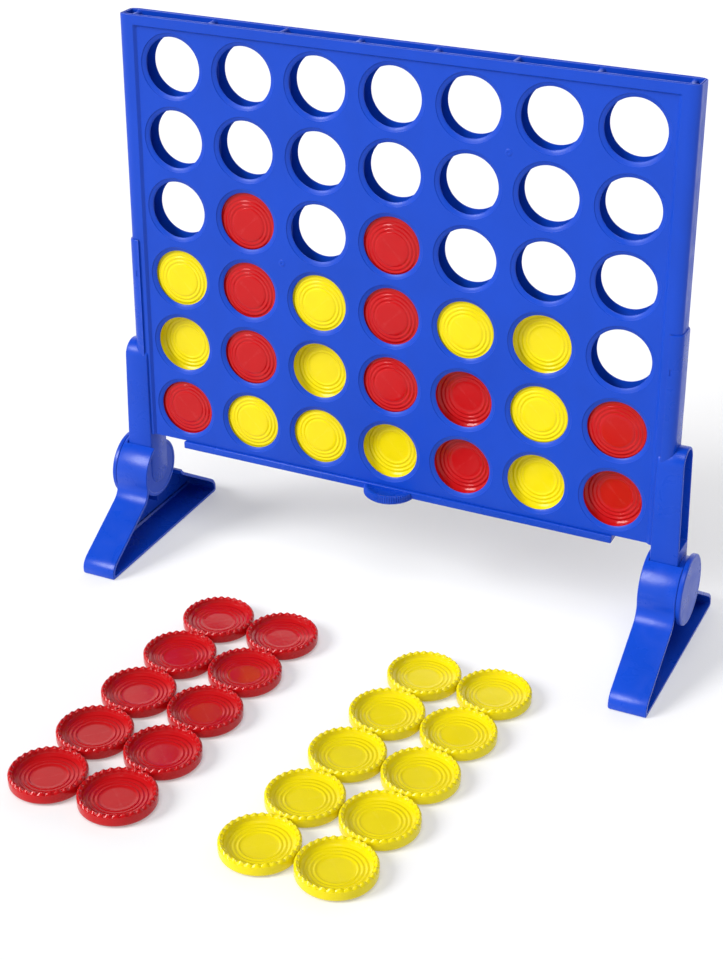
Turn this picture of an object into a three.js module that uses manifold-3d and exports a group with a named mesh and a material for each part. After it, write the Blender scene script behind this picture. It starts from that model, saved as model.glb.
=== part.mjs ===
// Large standing four-in-a-row game: an upright grid of seven columns and six rows, carried on two
// folding feet, with a release bar under the columns and forty-two loose discs.
// Millimetres, +Z up, the players stand on the -Y and +Y sides.

import * as THREE from 'three';
import { mergeVertices } from 'three/addons/utils/BufferGeometryUtils.js';
import Module from 'manifold-3d';

// ---- Driving dimensions ----

const COLUMNS = 7;
const ROWS = 6;
const COLUMN_PITCH = 62.6;
const ROW_PITCH = 59;
const TOP_ROW_HEIGHT = 428.4; // centre of the top row of holes above the ground
const GAP = 0.3; // left between pieces that touch
const PAST = 1; // how far a cut runs past the faces it opens

const DISC_RADIUS = 28.75;
const DISC_THICKNESS = 12;
const DISC_RIM_INNER_RADIUS = 23.5;
const DISC_FLOOR_RADIUS = 21.5;
const DISC_FLOOR_HEIGHT = 7;
const DISC_SIDES = 20;

const BOARD_WIDTH = 466;
const BOARD_DEPTH = 22;
const BOARD_ABOVE_TOP_ROW = 38.3;
const BOARD_BELOW_BOTTOM_ROW = 30.7;
const CHANNEL_DEPTH = 13; // front to back, for a disc standing on edge
const HOLE_RADIUS = 23.6;
const HOLE_SIDES = 20; // a full circle takes two sides for each curve segment
const FIELD_RECESS = 2; // the field with the holes lies this much below the border
const SIDE_BORDER = 13;
const TOP_BORDER = 7.4;
const WALL = 2.5;
const DIVIDER_THICKNESS = 2.6;
const SHORT_DIVIDER_DROP = 8; // dividers that stop below the top edge
const FULL_DIVIDERS = [2, 5];

const RUNG_WIDTH = 4.6; // narrow enough to hide between two columns of discs
const RAIL_HALF_LENGTH = 190;
const RAIL_HEIGHT = 6.2;
const RAIL_OUTER_Y = 11.5;
const RAIL_INNER_Y = 7;
const RAIL_CLEARANCE = 0.5; // between the rails and the lower edge of the grid
const DIVIDER_CLEARANCE = 0.6; // between a rung and the dividers it slides under
const RIDGE_CLEARANCE = 0.8; // between a rung's ridge and each panel
const RIDGE_LIFT = 1; // the ridge starts this far above the underside of the rails
const TAB_RADIUS = 22;
const TAB_CENTRE_Y = -5;
const TAB_THICKNESS = 7.5;
const TAB_DROP = 1; // below the top of the rails
const TAB_SIDES = 28;

const PIVOT_HEIGHT = 65;
const FOOT_INNER_X = 218.5;
const FOOT_WIDTH = 30.5;
const FOOT_HALF_LENGTH = 88.5;
const FOOT_WALL = 3;
const DRUM_RADIUS = 29;
const DRUM_WALL_FRONT = 125; // degrees from +Y, where the drum wall starts over the front
const DRUM_WALL_REAR = -33; // and where it ends behind, clear of the folded arm
// Corners of the foot's side outline, measured outwards and downwards from the pivot.
const NECK_BEND = [30, 19];
const LEG_SLOPE_START = [38, 22];
const LEG_SLOPE_DROP = 51;
const TOE_BEND = 5;
const TOE_BEND_DROP = 3;
const TOE_FACE_DROP = 7;
const NECK_INSET = 0.4; // share of an inset that narrows the neck
const SLOPE_INSET = 1.15; // an inset measured straight down from the sloping edge

const ARM_INNER_X = 222;
const ARM_OUTER_X = 245;
const ARM_SHOULDER_X = 243;
const ARM_SHOULDER_HEIGHT = 171;
const ARM_HALF_DEPTH = 12.8;
const SLEEVE_INNER_X = 224.3;
const SLEEVE_OUTER_X = 235;
const SLEEVE_BOTTOM = 186;
const SLEEVE_TOP = 279.7;
const SHOULDER_ROUND_TOP = 2; // the shoulder's rounded corner, below the foot of the sleeve
const SHOULDER_ROUND_BOTTOM = 16;
const RECESS_HEIGHTS = [112, 168]; // the hollow in the arm's outer face
const RECESS_HALF_DEPTH = 10;
const RECESS_FLOOR = 4; // wall left between the recess and the end of the grid
const LUG_POCKET_HEIGHTS = [92, 99]; // the hollow in the arm's inner face, over the tongue
const LUG_POCKET_HALF_DEPTH = 9.5;
const LUG_POCKET_WALL = 4;
const TONGUE_RADIUS = 25.5;
const TONGUE_CLEARANCE = 0.5;
const TONGUE_SIDES = 32;
const PIN_RADIUS = 8;
const PIN_SIDES = 28;
const CAP_RADIUS = 28.5;
const CAP_THICKNESS = 3.6;
const CAP_CHAMFER = 1;

// Discs standing in the grid, top row first: R red, Y yellow, a dot is an empty place.
const LAYOUT = ['.......', '.......', '.R.R...', 'YRYRYY.', 'YRYRRYR', 'RYYYRYR'];
// Discs that show their toothed side to the front, as column and row.
const TEETH_TO_FRONT = ['6,4', '1,5', '3,5', '5,5', '4,6', '5,6', '6,6', '7,6'];
// The two blocks of loose discs lying in front of the grid.
const BLOCKS = [
  { colour: 'red', x: -79.6, y: -228.1, lean: -2.5 },
  { colour: 'yellow', x: 98, y: -231.3, lean: -5.2 },
];
const BLOCK_ROWS = 5;

// ---- Derived dimensions ----

const BOARD_TOP = TOP_ROW_HEIGHT + BOARD_ABOVE_TOP_ROW;
const BOTTOM_ROW_HEIGHT = TOP_ROW_HEIGHT - (ROWS - 1) * ROW_PITCH;
const BOARD_BOTTOM = BOTTOM_ROW_HEIGHT - BOARD_BELOW_BOTTOM_ROW;
const DISC_SPACING = 2 * DISC_RADIUS + GAP;
const RUNG_TOP = BOTTOM_ROW_HEIGHT - DISC_RADIUS - GAP;
const RAIL_TOP = BOARD_BOTTOM - RAIL_CLEARANCE;
const CHANNEL_FLOOR = RUNG_TOP + DIVIDER_CLEARANCE; // underside of the dividers
const INNER_DEPTH = CHANNEL_DEPTH - 2 * GAP; // depth of the pieces between the two panels
const FRONT_EDGE = BLOCKS[1].y - (BLOCK_ROWS - 1) / 2 * DISC_SPACING - DISC_RADIUS;
const SET_CENTRE_Y = (FRONT_EDGE + FOOT_HALF_LENGTH) / 2;
const PLAIN_SIDES = 24; // of a small round hole
const CURVE_STEPS = 6; // straight steps that stand for each curve of an outline
const SHOULDER_STEPS = 5;

// ---- Materials ----

const BLUE = new THREE.Color(0.035, 0.1, 0.62);
const RED = new THREE.Color(0.6, 0.01, 0.012);
const YELLOW = new THREE.Color(0.9, 0.78, 0.005);

function plastic(color, roughness) {
  return new THREE.MeshStandardMaterial({ color, roughness, metalness: 0 });
}

const boardPlastic = plastic(BLUE, 0.35);
const legPlastic = plastic(BLUE, 0.42);
const barPlastic = plastic(BLUE, 0.4);
const discPlastic = { red: plastic(RED, 0.25), yellow: plastic(YELLOW, 0.28) };

// ---- Solids ----

const wasm = await Module();
wasm.setup();

function toSolid(geometry) {
  const plain = geometry.clone();
  plain.deleteAttribute('normal');
  plain.deleteAttribute('uv');
  const merged = mergeVertices(plain, 1e-4);
  return new wasm.Manifold(new wasm.Mesh({
    numProp: 3,
    vertProperties: new Float32Array(merged.attributes.position.array),
    triVerts: new Uint32Array(merged.index.array),
  }));
}

function toGeometry(solid) {
  const mesh = solid.getMesh();
  const geometry = new THREE.BufferGeometry();
  geometry.setAttribute('position', new THREE.BufferAttribute(mesh.vertProperties, 3));
  geometry.setIndex(new THREE.BufferAttribute(mesh.triVerts, 1));
  geometry.computeVertexNormals();
  return geometry;
}

function piece(name, shape, material) {
  const geometry = shape.isBufferGeometry ? shape : toGeometry(shape);
  const mesh = new THREE.Mesh(geometry, material);
  mesh.name = name;
  return mesh;
}

// A box between two corners, given as [low, high] on each axis in either order.
function block(xs, ys, zs) {
  const size = [xs, ys, zs].map(([a, b]) => Math.abs(b - a));
  const centre = [xs, ys, zs].map(([a, b]) => (a + b) / 2);
  return new THREE.BoxGeometry(...size).translate(...centre);
}

function blockSolid(xs, ys, zs) {
  return toSolid(block(xs, ys, zs));
}

// A side outline drawn in Y and Z, made solid between two places along X.
function prismAlongX(shape, xs, curveSegments = CURVE_STEPS) {
  const low = Math.min(...xs);
  const depth = Math.abs(xs[1] - xs[0]);
  const geometry = new THREE.ExtrudeGeometry(shape, { depth, bevelEnabled: false, curveSegments });
  const turn = new THREE.Matrix4().set(0, 0, 1, low, 1, 0, 0, 0, 0, 1, 0, 0, 0, 0, 0, 1);
  return geometry.applyMatrix4(turn);
}

// A front outline drawn in X and Z, made solid between two places along Y.
function prismAlongY(shape, ys, curveSegments = CURVE_STEPS) {
  const depth = Math.abs(ys[1] - ys[0]);
  const geometry = new THREE.ExtrudeGeometry(shape, { depth, bevelEnabled: false, curveSegments });
  return geometry.rotateX(Math.PI / 2).translate(0, Math.max(...ys), 0);
}

function cylinderAlongX(radius, xs, y, z, sides = PLAIN_SIDES) {
  const geometry = new THREE.CylinderGeometry(radius, radius, Math.abs(xs[1] - xs[0]), sides);
  return geometry.rotateZ(Math.PI / 2).translate((xs[0] + xs[1]) / 2, y, z);
}

function polygon(points) {
  return new THREE.Shape(points.map(([u, v]) => new THREE.Vector2(u, v)));
}

// ---- The grid ----

function columnX(column) {
  return (column - (COLUMNS + 1) / 2) * COLUMN_PITCH;
}

function rowHeight(row) {
  return TOP_ROW_HEIGHT - (row - 1) * ROW_PITCH;
}

// One face of the grid: a plate with the forty-two holes, its field sunk below a raised border.
function gridPanel(side) {
  const half = BOARD_WIDTH / 2;
  const outline = polygon([
    [-half, BOARD_BOTTOM], [half, BOARD_BOTTOM], [half, BOARD_TOP], [-half, BOARD_TOP],
  ]);
  for (let column = 1; column <= COLUMNS; column += 1) {
    for (let row = 1; row <= ROWS; row += 1) {
      const hole = new THREE.Path();
      hole.absarc(columnX(column), rowHeight(row), HOLE_RADIUS, 0, 2 * Math.PI, true);
      outline.holes.push(hole);
    }
  }
  const outer = side * BOARD_DEPTH / 2;
  const plate = toSolid(prismAlongY(outline, [outer, side * CHANNEL_DEPTH / 2], HOLE_SIDES / 2));
  const fieldHalf = half - SIDE_BORDER;
  const field = blockSolid(
    [-fieldHalf, fieldHalf],
    [outer - side * FIELD_RECESS, outer + side * FIELD_RECESS],
    [BOARD_BOTTOM - WALL, BOARD_TOP - TOP_BORDER],
  );
  return plate.subtract(field);
}

// A hollow upright that closes the end of the grid, open at the top.
function sideChannel(side) {
  const outer = side * (BOARD_WIDTH / 2);
  const inner = side * (COLUMNS / 2 * COLUMN_PITCH + GAP);
  const top = BOARD_TOP - GAP;
  const floor = CHANNEL_FLOOR + WALL;
  const outline = polygon([
    [outer, CHANNEL_FLOOR], [inner, CHANNEL_FLOOR], [inner, top], [inner + side * WALL, top],
    [inner + side * WALL, floor], [outer - side * WALL, floor], [outer - side * WALL, top], [outer, top],
  ]);
  return prismAlongY(outline, [-INNER_DEPTH / 2, INNER_DEPTH / 2]);
}

// The wall between two neighbouring columns of discs.
function divider(index) {
  const x = (index - COLUMNS / 2) * COLUMN_PITCH;
  const drop = FULL_DIVIDERS.includes(index) ? GAP : SHORT_DIVIDER_DROP;
  return block(
    [x - DIVIDER_THICKNESS / 2, x + DIVIDER_THICKNESS / 2],
    [-INNER_DEPTH / 2, INNER_DEPTH / 2],
    [CHANNEL_FLOOR, BOARD_TOP - drop],
  );
}

function grid() {
  const group = new THREE.Group();
  group.add(piece('front_panel', gridPanel(-1), boardPlastic));
  group.add(piece('back_panel', gridPanel(1), boardPlastic));
  group.add(piece('side_channel_left', sideChannel(-1), boardPlastic));
  group.add(piece('side_channel_right', sideChannel(1), boardPlastic));
  for (let index = 1; index < COLUMNS; index += 1) {
    group.add(piece(`column_divider_${index}`, divider(index), boardPlastic));
  }
  return group;
}

// ---- The release bar ----

// A ladder under the grid: one narrow rung holds up each column of discs, and half a column of
// travel brings the rungs under the dividers, so that every disc falls out.
function releaseBar() {
  const low = RAIL_TOP - RAIL_HEIGHT;
  const length = [-RAIL_HALF_LENGTH, RAIL_HALF_LENGTH];
  let bar = blockSolid(length, [-RAIL_OUTER_Y, -RAIL_INNER_Y], [low, RAIL_TOP]);
  bar = bar.add(blockSolid(length, [RAIL_INNER_Y, RAIL_OUTER_Y], [low, RAIL_TOP]));
  for (let column = 1; column <= COLUMNS; column += 1) {
    const across = [columnX(column) - RUNG_WIDTH / 2, columnX(column) + RUNG_WIDTH / 2];
    const reach = (RAIL_INNER_Y + RAIL_OUTER_Y) / 2;
    bar = bar.add(blockSolid(across, [-reach, reach], [low, RAIL_TOP]));
    const ridge = CHANNEL_DEPTH / 2 - RIDGE_CLEARANCE;
    bar = bar.add(blockSolid(across, [-ridge, ridge], [low + RIDGE_LIFT, RUNG_TOP]));
  }
  const tab = new THREE.CylinderGeometry(TAB_RADIUS, TAB_RADIUS, TAB_THICKNESS, TAB_SIDES);
  tab.rotateX(Math.PI / 2);
  tab.translate(0, TAB_CENTRE_Y, RAIL_TOP - TAB_DROP - TAB_THICKNESS / 2);
  const ahead = blockSolid(
    [-2 * TAB_RADIUS, 2 * TAB_RADIUS],
    [-2 * TAB_RADIUS, -RAIL_INNER_Y - PAST],
    [low - TAB_THICKNESS, RAIL_TOP],
  );
  return bar.add(toSolid(tab).intersect(ahead));
}

// ---- The legs ----

// The foot seen from its side, about its pivot: a round head that flares into a long low triangle.
// Inset moves the whole outline inwards.
function footOutline(inset) {
  const radius = DRUM_RADIUS - inset;
  const tip = FOOT_HALF_LENGTH - inset;
  const base = -PIVOT_HEIGHT + inset;
  const neckX = NECK_BEND[0] - inset * NECK_INSET;
  const neckZ = -NECK_BEND[1] - inset;
  const slopeZ = -LEG_SLOPE_START[1] - inset * SLOPE_INSET;
  const shoulder = -LEG_SLOPE_DROP - inset * SLOPE_INSET;
  const toe = shoulder - TOE_FACE_DROP + inset;
  const join = THREE.MathUtils.degToRad(DRUM_WALL_REAR);
  const shape = new THREE.Shape();
  shape.absarc(0, 0, radius, join, Math.PI - join, false);
  shape.quadraticCurveTo(-neckX, neckZ, -LEG_SLOPE_START[0], slopeZ);
  shape.lineTo(-tip + TOE_BEND, shoulder);
  shape.quadraticCurveTo(-tip, shoulder - TOE_BEND_DROP, -tip, toe);
  shape.lineTo(-tip, base);
  shape.lineTo(tip, base);
  shape.lineTo(tip, toe);
  shape.quadraticCurveTo(tip, shoulder - TOE_BEND_DROP, tip - TOE_BEND, shoulder);
  shape.lineTo(LEG_SLOPE_START[0], slopeZ);
  shape.quadraticCurveTo(neckX, neckZ, radius * Math.cos(join), radius * Math.sin(join));
  return shape;
}

// The sector of the drum wall that is left open, where the arm enters the head and swings.
function drumMouth() {
  const reach = 2 * DRUM_RADIUS;
  const from = THREE.MathUtils.degToRad(DRUM_WALL_REAR);
  const to = THREE.MathUtils.degToRad(DRUM_WALL_FRONT);
  const shape = new THREE.Shape();
  shape.moveTo(0, 0);
  shape.lineTo(reach * Math.cos(from), reach * Math.sin(from));
  shape.absarc(0, 0, reach, from, to, false);
  return shape;
}

// Both feet are the same moulding, a hollow shell whose open side faces +X.
function foot(innerX) {
  const low = Math.min(innerX, innerX + Math.sign(innerX) * FOOT_WIDTH);
  const span = [low, low + FOOT_WIDTH];
  const hollow = [low + FOOT_WALL, low + FOOT_WIDTH + PAST];
  const shell = toSolid(prismAlongX(footOutline(0), span));
  const pocket = toSolid(prismAlongX(footOutline(FOOT_WALL), hollow));
  const mouth = toSolid(prismAlongX(drumMouth(), hollow));
  const bore = toSolid(cylinderAlongX(PIN_RADIUS + 2 * GAP, [low - PAST, low + FOOT_WALL + PAST], 0, 0));
  return shell.subtract(pocket).subtract(mouth).subtract(bore).translate(0, 0, PIVOT_HEIGHT);
}

// The arm clasps the end of the grid, with a thin sleeve above its shoulder, and ends in a round
// tongue inside the foot's head. Side is -1 on the left and 1 on the right.
function arm(side) {
  const x = (value) => side * value;
  const front = new THREE.Shape();
  front.moveTo(x(ARM_INNER_X), PIVOT_HEIGHT);
  front.lineTo(x(ARM_INNER_X), ARM_SHOULDER_HEIGHT);
  front.lineTo(x(SLEEVE_INNER_X), ARM_SHOULDER_HEIGHT);
  front.lineTo(x(SLEEVE_INNER_X), SLEEVE_TOP);
  front.lineTo(x(SLEEVE_OUTER_X), SLEEVE_TOP);
  front.lineTo(x(SLEEVE_OUTER_X), SLEEVE_BOTTOM);
  front.quadraticCurveTo(
    x(ARM_SHOULDER_X),
    SLEEVE_BOTTOM - SHOULDER_ROUND_TOP,
    x(ARM_SHOULDER_X),
    SLEEVE_BOTTOM - SHOULDER_ROUND_BOTTOM,
  );
  front.lineTo(x(ARM_OUTER_X), PIVOT_HEIGHT);
  const depth = [-ARM_HALF_DEPTH, ARM_HALF_DEPTH];
  const body = toSolid(prismAlongY(front, depth, SHOULDER_STEPS));
  const edge = BOARD_DEPTH / 2 + GAP;
  const clasp = blockSolid(
    [0, x(BOARD_WIDTH / 2 + GAP)],
    [-edge, edge],
    [BOARD_BOTTOM - GAP, SLEEVE_TOP + PAST],
  );
  const recess = blockSolid(
    [x(BOARD_WIDTH / 2 + RECESS_FLOOR), x(ARM_OUTER_X + PAST)],
    [-RECESS_HALF_DEPTH, RECESS_HALF_DEPTH],
    RECESS_HEIGHTS,
  );
  const lugPocket = blockSolid(
    [x(ARM_INNER_X - PAST), x(ARM_OUTER_X - LUG_POCKET_WALL)],
    [-LUG_POCKET_HALF_DEPTH, LUG_POCKET_HALF_DEPTH],
    LUG_POCKET_HEIGHTS,
  );
  const footLow = Math.min(x(FOOT_INNER_X), x(FOOT_INNER_X + FOOT_WIDTH));
  const inHead = [
    footLow + FOOT_WALL + TONGUE_CLEARANCE,
    footLow + FOOT_WIDTH - TONGUE_CLEARANCE,
  ];
  const tongue = toSolid(cylinderAlongX(TONGUE_RADIUS, inHead, 0, PIVOT_HEIGHT, TONGUE_SIDES));
  const through = [inHead[0] - PAST, inHead[1] + PAST];
  const bore = toSolid(cylinderAlongX(PIN_RADIUS + GAP, through, 0, PIVOT_HEIGHT));
  return body.subtract(clasp).subtract(recess).subtract(lugPocket).add(tongue).subtract(bore);
}

// The pin fixes the foot to the arm; its broad cap covers the outer side of the knuckle.
function pivotPin(side) {
  const capInner = FOOT_INNER_X + FOOT_WIDTH + 2 * GAP;
  const length = capInner - FOOT_INNER_X - 2 * GAP;
  const profile = polygonPoints([
    [0, 0], [PIN_RADIUS, 0], [PIN_RADIUS, length], [CAP_RADIUS, length],
    [CAP_RADIUS, length + CAP_THICKNESS - CAP_CHAMFER],
    [CAP_RADIUS - CAP_CHAMFER, length + CAP_THICKNESS],
    [0, length + CAP_THICKNESS],
  ]);
  const pin = new THREE.LatheGeometry(profile, PIN_SIDES);
  pin.rotateZ(-side * Math.PI / 2);
  return pin.translate(side * (capInner - length), 0, PIVOT_HEIGHT);
}

function polygonPoints(points) {
  return points.map(([u, v]) => new THREE.Vector2(u, v));
}

function legs() {
  const group = new THREE.Group();
  for (const [word, side] of [['left', -1], ['right', 1]]) {
    group.add(piece(`arm_${word}`, arm(side), legPlastic));
    group.add(piece(`foot_${word}`, foot(side * FOOT_INNER_X), legPlastic));
    group.add(piece(`pivot_pin_${word}`, pivotPin(side), legPlastic));
  }
  return group;
}

// ---- The discs ----

// A disc about its own centre with its axis along Y: flat behind, a sunk floor inside the toothed rim.
function disc() {
  const half = DISC_THICKNESS / 2;
  const profile = polygonPoints([
    [0, -half], [DISC_RADIUS, -half], [DISC_RADIUS, half], [DISC_RIM_INNER_RADIUS, half],
    [DISC_FLOOR_RADIUS, DISC_FLOOR_HEIGHT - half], [0, DISC_FLOOR_HEIGHT - half],
  ]);
  return new THREE.LatheGeometry(profile, DISC_SIDES);
}

// Discs standing in the columns, each resting on the one below.
function gridDiscs() {
  const group = new THREE.Group();
  for (let row = ROWS; row >= 1; row -= 1) {
    for (let column = 1; column <= COLUMNS; column += 1) {
      const letter = LAYOUT[row - 1][column - 1];
      if (letter === '.') {
        continue;
      }
      const colour = letter === 'R' ? 'red' : 'yellow';
      const mesh = piece(`disc_c${column}_r${row}_${colour}`, disc(), discPlastic[colour]);
      mesh.position.set(columnX(column), 0, BOTTOM_ROW_HEIGHT + (ROWS - row) * DISC_SPACING);
      mesh.rotation.z = TEETH_TO_FRONT.includes(`${column},${row}`) ? Math.PI : 0;
      group.add(mesh);
    }
  }
  return group;
}

// Loose discs lying with their teeth up, two wide and five deep.
function looseDiscs({ colour, x, y, lean }) {
  const group = new THREE.Group();
  for (let index = 0; index < 2 * BLOCK_ROWS; index += 1) {
    const across = index % 2 - 0.5;
    const back = Math.floor(index / 2) - (BLOCK_ROWS - 1) / 2;
    const number = String(index + 1).padStart(2, '0');
    const mesh = piece(`loose_disc_${colour}_${number}`, disc(), discPlastic[colour]);
    const alongX = x + across * DISC_SPACING + back * lean;
    mesh.position.set(alongX, y - back * DISC_SPACING, DISC_THICKNESS / 2);
    mesh.rotation.x = Math.PI / 2;
    group.add(mesh);
  }
  return group;
}

// ---- The whole set, with its origin on the ground under the middle of everything ----

const game = new THREE.Group();
game.add(grid());
game.add(piece('release_bar', releaseBar(), barPlastic));
game.add(legs());
game.add(gridDiscs());
for (const blockOfDiscs of BLOCKS) {
  game.add(looseDiscs(blockOfDiscs));
}
game.position.y = -SET_CENTRE_Y;

export default game;
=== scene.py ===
# A large four-in-a-row game in moulded plastic: the upright grid on its two folding feet, the
# sliding release bar, and forty-two toothed discs. Lengths are in millimetres, turned into metres
# where a mesh is made. Places on the board are measured from the middle plane of the grid.

import math

import bmesh
import bpy
from mathutils import Matrix, Vector


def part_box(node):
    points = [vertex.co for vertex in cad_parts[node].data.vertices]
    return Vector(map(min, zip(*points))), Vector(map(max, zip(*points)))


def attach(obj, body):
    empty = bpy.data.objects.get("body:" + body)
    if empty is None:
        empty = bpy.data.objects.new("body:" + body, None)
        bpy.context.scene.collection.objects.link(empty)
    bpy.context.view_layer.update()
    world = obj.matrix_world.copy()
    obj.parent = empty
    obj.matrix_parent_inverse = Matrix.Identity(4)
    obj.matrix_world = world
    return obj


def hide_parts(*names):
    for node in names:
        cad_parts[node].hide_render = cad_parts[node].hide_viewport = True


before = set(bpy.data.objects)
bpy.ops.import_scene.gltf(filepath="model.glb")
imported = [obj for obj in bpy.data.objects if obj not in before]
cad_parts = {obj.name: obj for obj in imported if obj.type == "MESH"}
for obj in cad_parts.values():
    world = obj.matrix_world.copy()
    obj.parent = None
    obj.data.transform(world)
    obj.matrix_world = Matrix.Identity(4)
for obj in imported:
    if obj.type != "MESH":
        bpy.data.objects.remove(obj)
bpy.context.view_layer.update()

MM = 0.001

# ---- Places and sizes read from the frame ----


def box_mm(node):
    low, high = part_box(node)
    return low / MM, high / MM


def centre_mm(node):
    low, high = box_mm(node)
    return (low + high) / 2


FRONT_LOW, FRONT_HIGH = box_mm("front_panel")
BACK_LOW, BACK_HIGH = box_mm("back_panel")
BAR_LOW, BAR_HIGH = box_mm("release_bar")
PLANE_Y = (FRONT_LOW.y + BACK_HIGH.y) / 2
BOARD_HALF_WIDTH = FRONT_HIGH.x
BOARD_TOP = FRONT_HIGH.z
BOARD_BOTTOM = FRONT_LOW.z

COLUMNS = 7
ROWS = 6
COLUMN_PITCH = (centre_mm("disc_c6_r6_yellow").x - centre_mm("disc_c2_r6_yellow").x) / 4
ROW_PITCH = 59.0
BOTTOM_ROW = centre_mm("disc_c4_r6_yellow").z

# Distances from the middle plane: the raised border, the field inside it, and the channel's wall.
FIELD_DEPTH = 2.0
BORDER_Y = BACK_HIGH.y - PLANE_Y
FIELD_Y = BORDER_Y - FIELD_DEPTH
CHANNEL_Y = BACK_LOW.y - PLANE_Y


def column_x(column):
    """Column 1 is at the left, and a half number is between two columns."""
    return (column - (COLUMNS + 1) / 2) * COLUMN_PITCH


# ---- Mesh building ----

WELD = 0.002  # points nearer than this become one
SLIVER_SHARE = 0.2  # edges shorter than this share of WELD are dissolved
CREASE_ANGLE = 34
BEVEL_ANGLE = 32
BEVEL_SEGMENTS = 2
FLAT_FACE_WEIGHT = 60
CORNER_STEPS = 4
EDGE_SHARE = 0.3  # a rounded edge passes this share of its radius from the corner
SMALLEST_RADIUS = 0.05
AXIS_RADIUS = 0.02  # a turned section starts and ends this near its axis
QUARTER_TURN = math.pi / 2


class Shell:
    """Faces gathered in millimetres, welded into one closed mesh when it is finished."""

    def __init__(self):
        self.points = []
        self.faces = []

    def rows(self, rows, closed=True):
        """Joins each row of points to the next one with four-sided faces."""
        base = len(self.points)
        count = len(rows[0])
        for row in rows:
            self.points.extend(row)
        for i in range(len(rows) - 1):
            for j in range(count if closed else count - 1):
                a = base + i * count + j
                b = base + i * count + (j + 1) % count
                self.faces.append((a, b, b + count, a + count))

    def cap(self, row):
        base = len(self.points)
        self.points.extend(row)
        self.faces.append(tuple(range(base, base + len(row))))

    def mesh(self, name):
        data = bpy.data.meshes.new(name)
        data.from_pydata([Vector(p) * MM for p in self.points], [], self.faces)
        work = bmesh.new()
        work.from_mesh(data)
        bmesh.ops.remove_doubles(work, verts=work.verts, dist=WELD * MM)
        bmesh.ops.dissolve_degenerate(work, edges=work.edges, dist=WELD * MM * SLIVER_SHARE)
        bmesh.ops.recalc_face_normals(work, faces=work.faces)
        work.to_mesh(data)
        work.free()
        return data


def solid(name, rows):
    """A closed mesh through rows of points, with one face over each end."""
    shell = Shell()
    shell.rows(rows)
    shell.cap(rows[0])
    shell.cap(rows[-1])
    return shell.mesh(name)


def prism_x(name, outlines):
    """A solid along X from outlines in Y and Z, each given with its place along X."""
    return solid(name, [[(x, y, z) for y, z in outline] for x, outline in outlines])


def prism_z(name, outlines):
    """A solid along Z from outlines in X and Y, each given with its height."""
    return solid(name, [[(x, y, z) for x, y in outline] for z, outline in outlines])


def stations(outline, start, start_edge, end, end_edge):
    """Outlines along a solid. Each edge lists distances from its end, with the inset there."""
    near = [(start + step, outline(inset)) for step, inset in start_edge]
    far = [(end - step, outline(inset)) for step, inset in end_edge]
    return near + far


def turned(name, section, steps=64, ripple=None):
    """A solid of revolution about Z from (radius, height) points.
    Ripple moves a point by its angle."""
    rows = []
    for radius, height in section:
        row = []
        for i in range(steps):
            angle = 2 * math.pi * i / steps
            r, z = ripple(radius, height, angle) if ripple else (radius, height)
            row.append((r * math.cos(angle), r * math.sin(angle), z))
        rows.append(row)
    return solid(name, rows)


def arc(centre, radius, start, end, steps):
    """Points of a round stretch from start to end degrees, both included."""
    angles = [math.radians(start + (end - start) * i / steps) for i in range(steps + 1)]
    return [(centre[0] + radius * math.cos(a), centre[1] + radius * math.sin(a)) for a in angles]


def curve(start, control, end, steps):
    """Points of a quadratic curve after its start, up to its end."""
    points = []
    for i in range(1, steps + 1):
        t = i / steps
        points.append(tuple(
            (1 - t) ** 2 * a + 2 * t * (1 - t) * b + t * t * c
            for a, b, c in zip(start, control, end)
        ))
    return points


def rounded_rectangle(low, high, radius):
    """An outline between two corners, with round corners."""
    (u0, v0), (u1, v1) = low, high
    outline = []
    for centre, start in (
        ((u1 - radius, v1 - radius), 0), ((u0 + radius, v1 - radius), 90),
        ((u0 + radius, v0 + radius), 180), ((u1 - radius, v0 + radius), 270),
    ):
        outline += arc(centre, radius, start, start + 90, CORNER_STEPS)
    return outline


def rounded_block(name, low, high, radius):
    """A block along X whose four long edges and ends are rounded."""
    def outline(inset):
        return rounded_rectangle(
            (low[1] + inset, low[2] + inset), (high[1] - inset, high[2] - inset),
            max(radius - inset, SMALLEST_RADIUS),
        )
    edge = [(0, radius), (EDGE_SHARE * radius, EDGE_SHARE * radius), (radius, 0)]
    return prism_x(name, stations(outline, low[0], edge, high[0], reversed(edge)))


def moved(data, matrix):
    data.transform(matrix)
    if matrix.determinant() < 0:
        data.flip_normals()
    return data


def shift_mm(x, y, z):
    return Matrix.Translation(Vector((x, y, z)) * MM)


def quarter_turn(axis):
    return Matrix.Rotation(QUARTER_TURN, 4, axis)


def soften(data, angle=CREASE_ANGLE):
    """Smooth shading, with a crease kept wherever two faces meet at more than the angle."""
    work = bmesh.new()
    work.from_mesh(data)
    limit = math.radians(angle)
    for face in work.faces:
        face.smooth = True
    for edge in work.edges:
        edge.smooth = len(edge.link_faces) == 2 and edge.calc_face_angle(0) < limit
    work.to_mesh(data)
    work.free()


def carve(base, cuts=(), adds=()):
    """The mesh of base with other meshes joined on and then cut away."""
    scene = bpy.context.scene.collection
    target = bpy.data.objects.new("work", base)
    scene.objects.link(target)
    helpers = []
    for operation, group in (("UNION", adds), ("DIFFERENCE", cuts)):
        for data in group:
            helper = bpy.data.objects.new("helper", data)
            scene.objects.link(helper)
            helper.hide_render = True
            helpers.append(helper)
            step = target.modifiers.new(operation, "BOOLEAN")
            step.operation = operation
            step.solver = "EXACT"
            step.object = helper
    graph = bpy.context.evaluated_depsgraph_get()
    result = bpy.data.meshes.new_from_object(target.evaluated_get(graph))
    for item in [target, *helpers]:
        bpy.data.objects.remove(item)
    return result


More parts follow.
